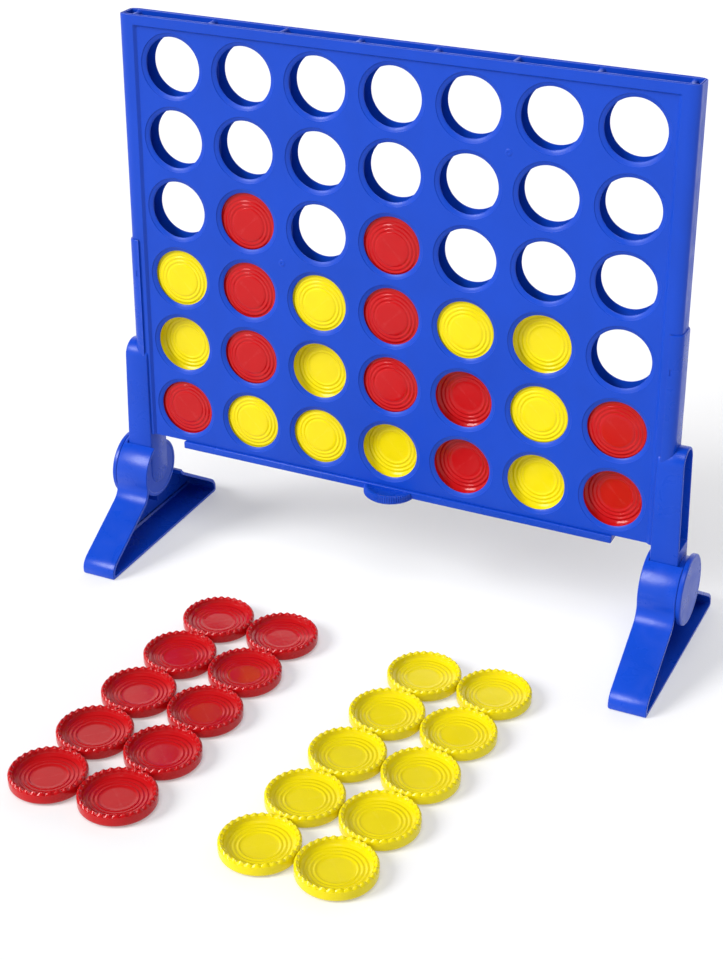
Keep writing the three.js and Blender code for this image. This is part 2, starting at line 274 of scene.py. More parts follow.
def place(data, name, body, slot, material, stands_for=(), at=(0, 0, 0), turn=None):
    """Makes a finished piece of the object out of a mesh."""
    piece = bpy.data.objects.new(name, data)
    bpy.context.scene.collection.objects.link(piece)
    matrix = Matrix.Translation(Vector(at) * MM)
    piece.matrix_world = matrix @ turn if turn else matrix
    if not data.materials:
        data.materials.append(material)
    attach(piece, body)
    if stands_for:
        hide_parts(*stands_for)
    return piece


def place_on_grid(data, name, stands_for=(), at=(0, PLANE_Y, 0), turn=None):
    soften(data)
    place(data, name, "grid", "board_blue", BOARD_PLASTIC, stands_for, at, turn)


def bevel(piece, width):
    """Rounds the edges of a piece as a mould does."""
    rounding = piece.modifiers.new("rounded_edges", "BEVEL")
    rounding.width = width * MM
    rounding.segments = BEVEL_SEGMENTS
    rounding.limit_method = "ANGLE"
    rounding.angle_limit = math.radians(BEVEL_ANGLE)
    rounding.harden_normals = True
    rounding.miter_outer = "MITER_ARC"


def flatten(piece):
    """Keeps broad faces flat right up to the small curves along their edges."""
    weighting = piece.modifiers.new("flat_faces", "WEIGHTED_NORMAL")
    weighting.keep_sharp = True
    weighting.weight = FLAT_FACE_WEIGHT


# ---- Materials ----

BLUE = (0.002, 0.05, 0.46, 1)
RED = (0.45, 0.004, 0.006, 1)
YELLOW = (0.74, 0.61, 0.002, 1)
WHITE = (1, 1, 1, 1)

# Patterns in the plastics, in waves per metre. The turn keeps them off the object's own axes.
PATTERN_TURN = (0.3, 0.2, 0.9)
CLOUD_SCALE = 14
FLOW_SCALE = (30, 30, 7)
SPECKLE_SCALE = 420
SMEAR_SCALE = 55
PEEL_SCALE = 260
GRAIN_SCALE = 1500
HAIR_SCALE = 900
HAIR_DIRECTIONS = ((0.5, 9), (-0.9, 6), (1.9, 12))  # turn, and waves per metre along the hair

# Bands of a pattern's value, low to high, that a range of results is spread over.
FLOW_BAND = (0.35, 0.65)
POINTED_BAND = (0.54, 0.64)
SPECKLE_BAND = (0.4, 0.6)
HAIR_BAND = (0.72, 0.8)
SMEAR_BAND = (0.3, 0.7)

CLOUD_SHARE = 0.6
FLOW_SHARE = 0.4
FLOW_TINTS = (0.93, 1.05)
PIECE_TINT = 0.88
PIECE_TINT_MOST = 0.25
RUBBED_MOST = 0.2
RUBBED_LEAST_SPECKLE = 0.2
RUBBED_LIFT = 0.07
SMEAR_ROUGHNESS = (0.8, 1.25)
SCRATCH_ROUGHNESS = 0.12
PEEL_STRENGTH, PEEL_HEIGHT = 0.06, 0.0012
GRAIN_HEIGHT = 0.00008
SCRATCH_STRENGTH, SCRATCH_HEIGHT = 0.15, 0.00005
PLASTIC_IOR = 1.43
PLASTIC_SPECULAR = 0.32


class Nodes:
    """Short ways to add and join shader nodes in one node tree."""

    def __init__(self, tree):
        self.tree = tree

    def add(self, kind, **values):
        node = self.tree.nodes.new(kind)
        for key, value in values.items():
            setattr(node, key, value)
        return node

    def join(self, source, target):
        self.tree.links.new(source, target)

    def give(self, value, socket):
        """Links a socket to another one, or sets it to a constant."""
        if isinstance(value, (int, float, tuple)):
            socket.default_value = value
        else:
            self.join(value, socket)

    def noise(self, coordinates, scale, detail=2.0, distortion=0.0):
        node = self.add("ShaderNodeTexNoise")
        node.inputs["Scale"].default_value = scale
        node.inputs["Detail"].default_value = detail
        node.inputs["Distortion"].default_value = distortion
        self.join(coordinates, node.inputs["Vector"])
        return node.outputs["Fac"]

    def stretch(self, coordinates, scale, turn=(0, 0, 0)):
        node = self.add("ShaderNodeMapping")
        node.inputs["Scale"].default_value = scale
        node.inputs["Rotation"].default_value = turn
        self.join(coordinates, node.inputs["Vector"])
        return node.outputs["Vector"]

    def span(self, value, band, result=(0.0, 1.0), interpolation="LINEAR"):
        """Spreads a range of results over a band of values."""
        node = self.add("ShaderNodeMapRange", interpolation_type=interpolation)
        for key, number in zip(("From Min", "From Max", "To Min", "To Max"), (*band, *result)):
            node.inputs[key].default_value = number
        self.join(value, node.inputs["Value"])
        return node.outputs["Result"]

    def combine(self, operation, first, second):
        node = self.add("ShaderNodeMath", operation=operation)
        self.give(first, node.inputs[0])
        self.give(second, node.inputs[1])
        return node.outputs["Value"]

    def blend(self, share, first, second):
        node = self.add("ShaderNodeMix", data_type="RGBA")
        self.join(share, node.inputs["Factor"])
        self.give(first, node.inputs["A"])
        self.give(second, node.inputs["B"])
        return node.outputs["Result"]

    def bump(self, height, strength, distance, below=None):
        node = self.add("ShaderNodeBump")
        node.inputs["Strength"].default_value = strength
        node.inputs["Distance"].default_value = distance
        self.join(height, node.inputs["Height"])
        if below:
            self.join(below, node.inputs["Normal"])
        return node.outputs["Normal"]


def tinted(colour, factor, lift=0.0):
    return tuple(min(1.0, c * factor + lift) for c in colour[:3]) + (1,)


def new_material(name):
    """A material, its nodes, and the inputs of its shader."""
    material = bpy.data.materials.new(name)
    material.use_nodes = True
    shader = material.node_tree.nodes["Principled BSDF"]
    return material, Nodes(material.node_tree), shader.inputs


def pattern_places(n, piece):
    """Coordinates for the patterns, shifted by a random number of each piece's own."""
    where = n.stretch(n.add("ShaderNodeTexCoord").outputs["Object"], (1, 1, 1), PATTERN_TURN)
    spread = n.add("ShaderNodeVectorMath", operation="ADD")
    n.join(where, spread.inputs[0])
    n.join(piece, spread.inputs[1])
    return spread.outputs["Vector"]


def plastic_colour(n, where, piece, colour):
    """Cloudy flow marks, a small difference between pieces, and edges rubbed a little paler."""
    clouds = n.noise(where, CLOUD_SCALE, detail=3, distortion=0.6)
    flow = n.noise(n.stretch(where, FLOW_SCALE), 1.0, detail=4, distortion=1.2)
    clouds = n.combine("MULTIPLY", clouds, CLOUD_SHARE)
    flow = n.combine("MULTIPLY", flow, FLOW_SHARE)
    shade = n.span(n.combine("ADD", clouds, flow), FLOW_BAND)
    body = n.blend(shade, tinted(colour, FLOW_TINTS[0]), tinted(colour, FLOW_TINTS[1]))
    tint = n.span(piece, (0.0, 1.0), (0.0, PIECE_TINT_MOST))
    body = n.blend(tint, body, tinted(colour, PIECE_TINT))
    pointed = n.add("ShaderNodeNewGeometry").outputs["Pointiness"]
    rubbed = n.span(pointed, POINTED_BAND, (0.0, RUBBED_MOST))
    speckle = n.noise(where, SPECKLE_SCALE, detail=3)
    speckle = n.span(speckle, SPECKLE_BAND, (RUBBED_LEAST_SPECKLE, 1.0))
    rubbed = n.combine("MULTIPLY", rubbed, speckle)
    return n.blend(rubbed, body, tinted(colour, 1.0, RUBBED_LIFT))


def hair_scratches(n, where):
    """Fine straight scratches in three directions: 1 on a scratch and 0 beside it."""
    hairs = []
    for turn, length in HAIR_DIRECTIONS:
        stretched = n.stretch(where, (length, length, HAIR_SCALE), (0.3, turn, 0.2))
        hairs.append(n.span(n.noise(stretched, 1.0, detail=1), HAIR_BAND))
    return n.combine("MAXIMUM", n.combine("MAXIMUM", hairs[0], hairs[1]), hairs[2])


def moulded_plastic(name, colour, roughness, scratch=0.5, grain=0.1):
    """Glossy injection-moulded plastic with a faint skin of orange peel and hair scratches."""
    material, n, shader = new_material(name)
    piece = n.add("ShaderNodeObjectInfo").outputs["Random"]
    where = pattern_places(n, piece)
    n.join(plastic_colour(n, where, piece, colour), shader["Base Color"])

    scratches = hair_scratches(n, where)
    smear = n.noise(where, SMEAR_SCALE, detail=4, distortion=0.8)
    rough = n.span(smear, SMEAR_BAND, tuple(roughness * share for share in SMEAR_ROUGHNESS))
    worn = n.combine("MULTIPLY", scratches, SCRATCH_ROUGHNESS * scratch)
    n.join(n.combine("ADD", rough, worn), shader["Roughness"])

    skin = n.bump(n.noise(where, PEEL_SCALE), PEEL_STRENGTH, PEEL_HEIGHT)
    skin = n.bump(n.noise(where, GRAIN_SCALE), grain, GRAIN_HEIGHT, skin)
    skin = n.bump(scratches, SCRATCH_STRENGTH * scratch, SCRATCH_HEIGHT, skin)
    n.join(skin, shader["Normal"])
    shader["IOR"].default_value = PLASTIC_IOR
    shader["Specular IOR Level"].default_value = PLASTIC_SPECULAR
    return material


BOARD_PLASTIC = moulded_plastic("board_plastic", BLUE, 0.36, scratch=0.3)
LEG_PLASTIC = moulded_plastic("leg_plastic", BLUE, 0.3, grain=0.16)
BAR_PLASTIC = moulded_plastic("bar_plastic", BLUE, 0.26)
RED_PLASTIC = moulded_plastic("red_plastic", RED, 0.16, scratch=0.25, grain=0.05)
YELLOW_PLASTIC = moulded_plastic("yellow_plastic", YELLOW, 0.2, scratch=0.25, grain=0.05)

# ---- The grid's two half shells ----

CELL_STEPS = 16  # points along each side of the patch of field round one hole
END_WALL = 2.5
END_RADIUS_X = 8.5
END_RADIUS_Y = 4.6
END_STEPS = 10
SEAM = 0.12  # half the gap between the two shells at their ends
LIP = 0.5
INNER_LIP = 0.3 * LIP
SHELL_CREASE_ANGLE = 40

# The bevel from the field up to the border. Levels are 0 on the field and 1 on the border.
BEVEL_START_X = 217.6
BEVEL_END_X = 220.0
BEVEL_START_BELOW_TOP = 9.0
BEVEL_END_BELOW_TOP = 7.4
BEVEL_EASE_X = 0.2
BEVEL_EASE_Z = 0.15
BEVEL_LAND = 0.6
LOW_LEVEL, HIGH_LEVEL = 0.04, 0.96

# Section of a hole's rim: radius, and depth below the field. A small step down, a shallow
# funnel, and a rounded mouth.
HOLE_SECTION = [
    (27.3, 0.0), (27.15, 0.06), (26.95, 0.5), (26.75, 0.62), (26.2, 0.8), (25.4, 1.1), (24.7, 1.42),
    (24.2, 1.68), (23.85, 1.9), (23.65, 2.12), (23.6, 2.25), (23.62, 2.36), (23.75, 2.45), (24.1, 2.5),
]
# The groove along the top edge: share of the way across the wall, and depth.
TOP_GROOVE = [(0.18, 0.0), (0.25, 1.6), (0.7, 1.6), (0.77, 0.0)]


def side_profile():
    """From the field to the seam in the end: outer x and y, border level, and inner point."""
    points = [
        (BEVEL_START_X, 0.0), (BEVEL_START_X + BEVEL_EASE_X, LOW_LEVEL),
        (BEVEL_END_X - BEVEL_EASE_X, HIGH_LEVEL), (BEVEL_END_X, 1.0), (BEVEL_END_X + BEVEL_LAND, 1.0),
    ]
    inner_x = BOARD_HALF_WIDTH - END_WALL
    rise = BORDER_Y - FIELD_Y
    profile = [(x, FIELD_Y + level * rise, level, (x, CHANNEL_Y)) for x, level in points]
    x, y = BOARD_HALF_WIDTH - END_RADIUS_X, BORDER_Y - END_RADIUS_Y
    for step in range(END_STEPS + 1):
        angle = math.radians(90 - 90 / END_STEPS * step)
        across, forward = math.cos(angle), math.sin(angle)
        inner = (x + (inner_x - x) * across, y + (CHANNEL_Y - y) * forward)
        profile.append((x + END_RADIUS_X * across, y + END_RADIUS_Y * forward, 1.0, inner))
    profile.append((BOARD_HALF_WIDTH, SEAM, 1.0, (inner_x, SEAM)))
    return profile


def wall_heights():
    """Heights up the wall, each with how far it is drawn in and its level."""
    heights = [(BOARD_BOTTOM, LIP, 0.0), (BOARD_BOTTOM + INNER_LIP, INNER_LIP, 0.0)]
    heights += [(z, 0.0, 0.0) for z in cell_heights()]
    start = BOARD_TOP - BEVEL_START_BELOW_TOP
    end = BOARD_TOP - BEVEL_END_BELOW_TOP
    return heights + [
        (start + BEVEL_EASE_Z, 0.0, LOW_LEVEL), (end - BEVEL_EASE_Z, 0.0, HIGH_LEVEL),
        (end, 0.0, 1.0), (end + BEVEL_LAND, 0.0, 1.0),
        (BOARD_TOP - LIP, 0.0, 1.0), (BOARD_TOP - INNER_LIP, INNER_LIP, 1.0), (BOARD_TOP, LIP, 1.0),
    ]


def cell_lines(low, high):
    return [low + (high - low) * i / CELL_STEPS for i in range(CELL_STEPS + 1)]


def column_bounds(column):
    x = column_x(column)
    low = -BEVEL_START_X if column == 1 else x - COLUMN_PITCH / 2
    high = BEVEL_START_X if column == COLUMNS else x + COLUMN_PITCH / 2
    return low, x, high


def row_bounds(row):
    """Row 0 is the bottom one."""
    z = BOTTOM_ROW + row * ROW_PITCH
    low = BOARD_BOTTOM + LIP if row == 0 else z - ROW_PITCH / 2
    high = BOARD_TOP - BEVEL_START_BELOW_TOP if row == ROWS - 1 else z + ROW_PITCH / 2
    return low, z, high


def cell_heights():
    lines = []
    for row in range(ROWS):
        low, _, high = row_bounds(row)
        lines += cell_lines(low, high)[0 if row == 0 else 1:]
    return lines


def cell_widths():
    lines = []
    for column in range(1, COLUMNS + 1):
        low, _, high = column_bounds(column)
        lines += cell_lines(low, high)[0 if column == 1 else 1:]
    return lines


def wall_point(across, inset, level, from_inside=False):
    """A point of the wall in X and Y: across is an entry of the profile along the board."""
    x, y, side_level, (inner_x, inner_y), sign = across
    if abs(x) <= BEVEL_END_X + 1:
        y = FIELD_Y + max(side_level, level) * (BORDER_Y - FIELD_Y)
    outer, inner = Vector((x, y)), Vector((inner_x, inner_y))
    way = (inner - outer).normalized()
    point = inner - way * inset if from_inside else outer + way * inset
    return (sign * point.x, point.y)


def hole_patch(shell, column, row):
    """The field round one hole, outside and inside, with the hole's shaped rim."""
    x0, cx, x1 = column_bounds(column)
    z0, cz, z1 = row_bounds(row)
    xs, zs = cell_lines(x0, x1), cell_lines(z0, z1)
    edge = [(x1, z) for z in zs[:-1]] + [(x, z1) for x in reversed(xs[1:])]
    edge += [(x0, z) for z in reversed(zs[1:])] + [(x, z0) for x in xs[:-1]]
    angles = [math.radians(-45 + 360 * i / len(edge)) for i in range(len(edge))]
    rows = [[(x, FIELD_Y, z) for x, z in edge]]
    for radius, depth in HOLE_SECTION:
        rows.append([
            (cx + radius * math.cos(a), FIELD_Y - depth, cz + radius * math.sin(a)) for a in angles
        ])
    rows.append([(x, CHANNEL_Y, z) for x, z in edge])
    shell.rows(rows)


def wall_along_board():
    """Entries for wall_point from one end of the board to the other."""
    side = side_profile()
    across = [(*entry, -1) for entry in reversed(side)]
    across += [(x, FIELD_Y, 0.0, (x, CHANNEL_Y), 1) for x in cell_widths()[1:-1]]
    return across + [(*entry, 1) for entry in side], len(side)


def grid_shell():
    """One half of the grid as a mesh, its outer face towards +Y."""
    shell = Shell()
    across, side_count = wall_along_board()
    heights = wall_heights()
    first, last = side_count - 1, len(across) - side_count
    low = 2
    high = low + len(cell_heights()) - 1
    outside, inside = [], []
    for z, inset, level in heights:
        outside.append([(*wall_point(entry, inset, level), z) for entry in across])
        inside.append([(*wall_point(entry, inset, level, True), z) for entry in across])
    for half in (outside, inside):
        shell.rows(half[:low + 1], closed=False)
        shell.rows(half[high:], closed=False)
        shell.rows([row[:first + 1] for row in half[low:high + 1]], closed=False)
        shell.rows([row[last:] for row in half[low:high + 1]], closed=False)
    shell.rows([outside[0], inside[0]], closed=False)
    groove = []
    for share, depth in TOP_GROOVE:
        drop = Vector((0, 0, depth))
        edges = zip(outside[-1], inside[-1])
        groove.append([Vector(outer).lerp(Vector(inner), share) - drop for outer, inner in edges])
    shell.rows([outside[-1], *groove, inside[-1]], closed=False)
    for end in (0, -1):
        crown = [row[end] for row in groove]
        shell.cap([row[end] for row in outside] + crown + [row[end] for row in reversed(inside)])
    for column in range(1, COLUMNS + 1):
        for row in range(ROWS):
            hole_patch(shell, column, row)
    data = shell.mesh("grid_shell")
    soften(data, SHELL_CREASE_ANGLE)
    return data


def grid_shells():
    back = grid_shell()
    front = moved(back.copy(), Matrix.Scale(-1, 4, (0, 1, 0)))
    for name, data in (("front_panel", front), ("back_panel", back)):
        centre = (0, PLANE_Y, 0)
        flatten(place(data, name + "_moulded", "grid", "board_blue", BOARD_PLASTIC, [name], centre))


# ---- Between the two shells ----

RIB_REACH = CHANNEL_Y + 0.05  # a rib runs this far from the middle plane, just into both shells
RIB_FOOT = [(0, 0.3), (0.4, 0)]
DIVIDER_TOP = [(1.4, 0), (0.7, 0.22), (0.25, 0.6), (0, 1.15)]
SIDE_WALL_TOP = [(9, 0), (8.3, 0.3), (8, 0.9)]
SIDE_WALL_HALF = 1.25
SHELF_LOW, SHELF_HIGH = 0.2, 3

PEG_BELOW_TOP = 3.1
END_PEG_X = 224.0
FULL_DIVIDERS = (2, 5)  # the dividers that reach the top edge and need no peg over them
PEG_SECTION = [
    (AXIS_RADIUS, -RIB_REACH), (2.8, -RIB_REACH), (2.0, 1.2 - RIB_REACH),
    (2.0, RIB_REACH - 1.2), (2.8, RIB_REACH), (AXIS_RADIUS, RIB_REACH),
]

GATE_PLACES = ((2.5, 2.5), (5.5, 4.5))  # column and row
GATE_SECTION = [
    (AXIS_RADIUS, 0.0), (0.7, 0.05), (1.0, 0.32), (1.7, 0.36), (2.5, 0.3), (3.0, 0.0), (3.0, -0.3),
    (AXIS_RADIUS, -0.3),
]


def rib_outline(half_thickness, flare):
    """A rib seen from above, widening where it joins the two shells."""
    inner = RIB_REACH - 2.2 * flare
    bend = RIB_REACH - 0.3 * flare
    foot = half_thickness + flare
    right = [(foot, -RIB_REACH)]
    right += curve(right[0], (half_thickness, -bend), (half_thickness, -inner), 5)
    right += [(half_thickness, inner)]
    right += curve(right[-1], (half_thickness, bend), (foot, RIB_REACH), 5)
    return right + [(-x, y) for x, y in reversed(right)]


def column_dividers():
    """The ribs between the columns: their tops are round, so a disc slips past them."""
    for index in range(1, COLUMNS):
        node = f"column_divider_{index}"
        low, high = box_mm(node)
        half = (high.x - low.x) / 2

        def outline(inset):
            return rib_outline(half - inset, 0.9 - inset * 0.5)

        data = prism_z(node, stations(outline, low.z, RIB_FOOT, high.z, DIVIDER_TOP))
        place_on_grid(data, node + "_rib", [node], ((low.x + high.x) / 2, PLANE_Y, 0))


def side_wall_outline(inset):
    return rib_outline(SIDE_WALL_HALF - inset, 0.8 - inset * 0.4)


def side_channels():
    """The wall beside the first and the last column, and the shelf at its foot."""
    for word, sign in (("left", -1), ("right", 1)):
        node = f"side_channel_{word}"
        low, high = box_mm(node)
        inner = min(abs(low.x), abs(high.x))
        wall = prism_z(node, stations(side_wall_outline, low.z, RIB_FOOT, high.z, SIDE_WALL_TOP))
        wall = moved(wall, shift_mm(sign * (inner + SIDE_WALL_HALF), 0, 0))
        place_on_grid(wall, node + "_wall", [node])
        near, far = sorted((sign * (inner + 1), sign * (BOARD_HALF_WIDTH - 1)))
        shelf_low = (near, -RIB_REACH, low.z + SHELF_LOW)
        shelf_high = (far, RIB_REACH, low.z + SHELF_HIGH)
        place_on_grid(rounded_block("shelf", shelf_low, shelf_high, 0.6), node + "_shelf")


def pegs():
    """The short pegs across the open top that keep the two shells apart."""
    places = [column_x(i + 0.5) for i in range(1, COLUMNS) if i not in FULL_DIVIDERS]
    for number, x in enumerate([*places, -END_PEG_X, END_PEG_X], 1):
        name = f"peg_{number}"
        centre = (x, PLANE_Y, BOARD_TOP - PEG_BELOW_TOP)
        place_on_grid(turned(name, PEG_SECTION, 24), name, (), centre, quarter_turn("X"))


def gate_marks():
    """The small round marks that the mould's gates leave in the field."""
    for number, (column, row) in enumerate(GATE_PLACES, 1):
        name = f"gate_mark_{number}"
        centre = (column_x(column), PLANE_Y - FIELD_Y, BOTTOM_ROW + row * ROW_PITCH)
        place_on_grid(turned(name, GATE_SECTION, 40), name, (), centre, quarter_turn("X"))


# ---- The discs ----

TEETH = 30
TOOTH_STEPS = 5
TOOTH_HEIGHT = 1.9
TOOTH_ROOT = 3.7
TOOTH_SLOPE_SHARE = 0.6
CROWN_RADIUS = 27.1
CREST_HALF_WIDTH = 1.9
DISC_CREASE_ANGLE = 30

# Both faces have a flat middle with four soft rings round it.
MIDDLE_RADIUS = 11.0
FLAT_RADIUS = 13.0
RINGS = 4
RING_PITCH = 3.1
RING_DEPTH = 0.5
RING_STEPS = 8
SMOOTH_CENTRE = -5.9
SMOOTH_FALL = 0.9
SMOOTH_RADIUS = 25.6
SUNK_CENTRE = -1.4
SUNK_FALL = 1.6
SUNK_RADIUS = 23.0
SUNK_FLOOR = (15, 22.5)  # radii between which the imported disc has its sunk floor

# From the rim's outside over the teeth to the sunk face: radius and height.
CROWN_SECTION = [
    (28.75, 1.5), (28.7, 3.4), (28.3, 4.4), (27.8, 5.2), (27.1, 6.0), (26.3, 5.3), (25.6, 4.6),
    (25.2, 3.9), (24.7, 1.7), (24.3, 1.0), (23.7, 0.75),
]


def ringed(radius, centre_height, fall):
    """Height of a face that is flat in its middle and waved round it, rising outwards."""
    beyond = radius - FLAT_RADIUS
    if beyond <= 0:
        return centre_height
    wave = 0.5 - 0.5 * math.cos(2 * math.pi * beyond / RING_PITCH)
    ease = min(1.0, max(0.0, RINGS - beyond / RING_PITCH))
    return centre_height + fall * (beyond / 12.0) ** 1.4 + RING_DEPTH * wave * ease


def disc_section():
    """Half section of a disc with its teeth up: radius and height."""
    steps = [FLAT_RADIUS + RING_PITCH * i / RING_STEPS for i in range(RINGS * RING_STEPS + 1)]
    smooth = [(AXIS_RADIUS, SMOOTH_CENTRE), (MIDDLE_RADIUS, SMOOTH_CENTRE)]
    smooth += [(r, ringed(r, SMOOTH_CENTRE, SMOOTH_FALL)) for r in steps if r < SMOOTH_RADIUS]
    smooth += arc((SMOOTH_RADIUS, -1.9), 3.15, -90, 0, 8)
    sunk = [(r, ringed(r, SUNK_CENTRE, SUNK_FALL)) for r in reversed(steps) if r < SUNK_RADIUS]
    sunk += [(MIDDLE_RADIUS, SUNK_CENTRE), (AXIS_RADIUS, SUNK_CENTRE)]
    return smooth + CROWN_SECTION + sunk


def tooth(radius, height, angle):
    """Turns the crown into a ring of small pyramids."""
    off_crest = abs(radius - CROWN_RADIUS) / CREST_HALF_WIDTH
    if height < TOOTH_ROOT or off_crest >= 1:
        return radius, height
    turn = (angle * TEETH / (2 * math.pi)) % 1.0
    ridge = 1 - abs(2 * turn - 1)
    return radius, height - TOOTH_HEIGHT * (1 - ridge) * (1 - off_crest * TOOTH_SLOPE_SHARE)


def teeth_direction(node):
    """Unit vector along the disc's axis towards its teeth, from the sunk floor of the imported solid."""
    low, high = box_mm(node)
    centre, size = (low + high) / 2, high - low
    axis = min(range(3), key=lambda i: size[i])
    towards = 0.0
    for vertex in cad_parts[node].data.vertices:
        offset = vertex.co / MM - centre
        along = offset[axis]
        offset[axis] = 0
        if SUNK_FLOOR[0] < offset.length < SUNK_FLOOR[1]:
            towards = along
    direction = Vector((0, 0, 0))
    direction[axis] = 1 if towards > 0 else -1
    return direction


def discs():
    shape = turned("disc", disc_section(), TEETH * TOOTH_STEPS, tooth)
    soften(shape, DISC_CREASE_ANGLE)
    finishes = {"red": RED_PLASTIC, "yellow": YELLOW_PLASTIC}
    shapes = {}
    for colour, material in finishes.items():
        shapes[colour] = shape.copy()
        shapes[colour].materials.append(material)
    for index, node in enumerate(sorted(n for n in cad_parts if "disc_" in n)):
        colour = "red" if "red" in node else "yellow"
        spin = Matrix.Rotation(math.radians(90 * index % 360), 4, "Z")
        turn = teeth_direction(node).to_track_quat("Z", "Y").to_matrix().to_4x4() @ spin
        name, slot = node + "_toothed", f"disc_{colour}"
        place(shapes[colour], name, node, slot, finishes[colour], [node], centre_mm(node), turn)


# ---- The release bar ----

BAR_CLEARANCE = 0.06
RAIL_HEIGHT = 6.2
RAIL_NEAR, RAIL_FAR = 7.0, 11.5
RAIL_RADIUS = 0.9
RUNG_HALF_WIDTH = 2.3
RUNG_HALF_DEPTH = 9
RUNG_BELOW_RAIL = 0.4
RUNG_RADIUS = 0.5
RIDGE_HALF_DEPTH = 5.7
RIDGE_FOOT = 1

TAB_FORWARD = 5
TAB_BELOW_RAIL = 1
TAB_HEIGHT = 7.5
TAB_RADIUS = 21.7
TAB_REAR = -7.6
GRIP_START = 21
GRIP_DEPTH = 0.32
GRIPS = 72
GRIP_STEPS = 6


def tab_ripple(radius, height, angle):
    """Fine grip ribs round the edge of the thumb tab."""
    if radius < GRIP_START:
        return radius, height
    return radius + GRIP_DEPTH * math.cos(GRIPS * angle), height


def thumb_tab(rail_top):
    """A round plate with a shallow dish in its top, cut off along the front rail."""
    top = rail_top - TAB_BELOW_RAIL
    bottom = top - TAB_HEIGHT
    section = [
        (AXIS_RADIUS, bottom), (19.0, bottom), (20.6, bottom + 0.4), (TAB_RADIUS, bottom + 1.5),
        (TAB_RADIUS, top - 1.2), (21.3, top - 0.3), (20.4, top), (18.6, top), (17.6, top - 0.5),
        (14.0, top - 1.5), (AXIS_RADIUS, top - 1.9),
    ]
    tab = moved(turned("tab", section, GRIPS * GRIP_STEPS, tab_ripple), shift_mm(0, -TAB_FORWARD, 0))
    behind = rounded_block("behind", (-40, TAB_REAR, bottom - 5), (40, 60, rail_top + 5), 0.2)
    return carve(tab, cuts=[behind])


def release_bar():
    low, high = BAR_LOW, BAR_HIGH
    top = BOARD_BOTTOM - BAR_CLEARANCE
    bottom = top - RAIL_HEIGHT
    rails = []
    for near, far in ((-RAIL_FAR, -RAIL_NEAR), (RAIL_NEAR, RAIL_FAR)):
        rails.append(rounded_block("rail", (low.x, near, bottom), (high.x, far, top), RAIL_RADIUS))
    rungs = []
    for column in range(1, COLUMNS + 1):
        left, right = column_x(column) - RUNG_HALF_WIDTH, column_x(column) + RUNG_HALF_WIDTH
        rung_low = (left, -RUNG_HALF_DEPTH, bottom + RUNG_BELOW_RAIL)
        rung_high = (right, RUNG_HALF_DEPTH, top - RUNG_BELOW_RAIL)
        rungs.append(rounded_block("rung", rung_low, rung_high, RUNG_RADIUS))
        ridge_low = (left, -RIDGE_HALF_DEPTH, bottom + RIDGE_FOOT)
        ridge_high = (right, RIDGE_HALF_DEPTH, high.z)
        rungs.append(rounded_block("ridge", ridge_low, ridge_high, RAIL_RADIUS))
    data = carve(rails[0], adds=[rails[1], *rungs, thumb_tab(top)])
    soften(data)
    centre = (0, PLANE_Y, 0)
    place(data, "release_bar_ladder", "release_bar", "bar_blue", BAR_PLASTIC, ["release_bar"], centre)


# ---- The arms ----

PIVOT = centre_mm("pivot_pin_right").z
ARM_HALF_DEPTH = 12.8
ARM_ARCH_Z = 173.2
ARM_INNER_X = 222.0
ARM_OUTER_X = 243.0
ARM_TAPER = 2.0 / 106
ARM_INNER_EDGE = [(0, 0.9), (0.3, 0.3), (0.9, 0)]
ARM_OUTER_EDGE = [(1.0, 0), (0.4, 0.25), (0.05, 0.8)]
ARCH_STEPS = 20

RECESS_FOOT_Z = 99
RECESS_CORNER = 2
RECESS_STATIONS = [(BOARD_HALF_WIDTH + 4, 3.0), (BOARD_HALF_WIDTH + 4.5, 2.5), (ARM_OUTER_X + 4, 2.1)]
SLOT_LOW, SLOT_HIGH, SLOT_RADIUS = (-5.6, 117), (-2.4, 129), 1.5

SLEEVE_REAR_X = 224.4
SLEEVE_THICKNESS = 1.45
SLEEVE_OVERLAP = 0.3
SLEEVE_BELOW_BOARD = 0.3
SLEEVE_FOOT = [(0, 0.35), (0.4, 0)]
SLEEVE_TOP = [(2.4, 0), (1.2, 0.15), (0.4, 0.45), (0, 0.9)]
CATCH_LOW, CATCH_HIGH, CATCH_RADIUS = (226.2, -16), (228.2, -BORDER_Y - 0.7), 0.3
CATCH_BELOW_TOP = (32, 27)

ARM_BEVEL, SLEEVE_BEVEL, TONGUE_BEVEL, FOOT_BEVEL = 0.35, 0.25, 0.2, 0.45


def arch_outline(inset):
    """The arm seen from its side: upright, with both ends round."""
    radius = ARM_HALF_DEPTH - inset
    top = arc((0, ARM_ARCH_Z), radius, 0, 180, ARCH_STEPS)
    return top + arc((0, PIVOT), radius, 180, 360, ARCH_STEPS)


def recess_outline(inset):
    """The hollow in the arm's outer side: round at its top, square at its foot."""
    radius = ARM_HALF_DEPTH - inset
    bottom = RECESS_FOOT_Z + inset
    start, corner = (-radius, bottom + RECESS_CORNER), (-radius, bottom)
    foot = [start] + curve(start, corner, (RECESS_CORNER - radius, bottom), 4)
    top = arc((0, ARM_ARCH_Z), radius, 0, 180, ARCH_STEPS)
    return top + foot + [(-y, z) for y, z in reversed(foot)]


def leaned(data):
    """The arm's outer side leans outwards towards the knuckle."""
    for vertex in data.vertices:
        if vertex.co.x > (BOARD_HALF_WIDTH + 3) * MM:
            drop = max(0.0, ARM_ARCH_Z * MM - vertex.co.z)
            vertex.co.x += drop * ARM_TAPER
    return data


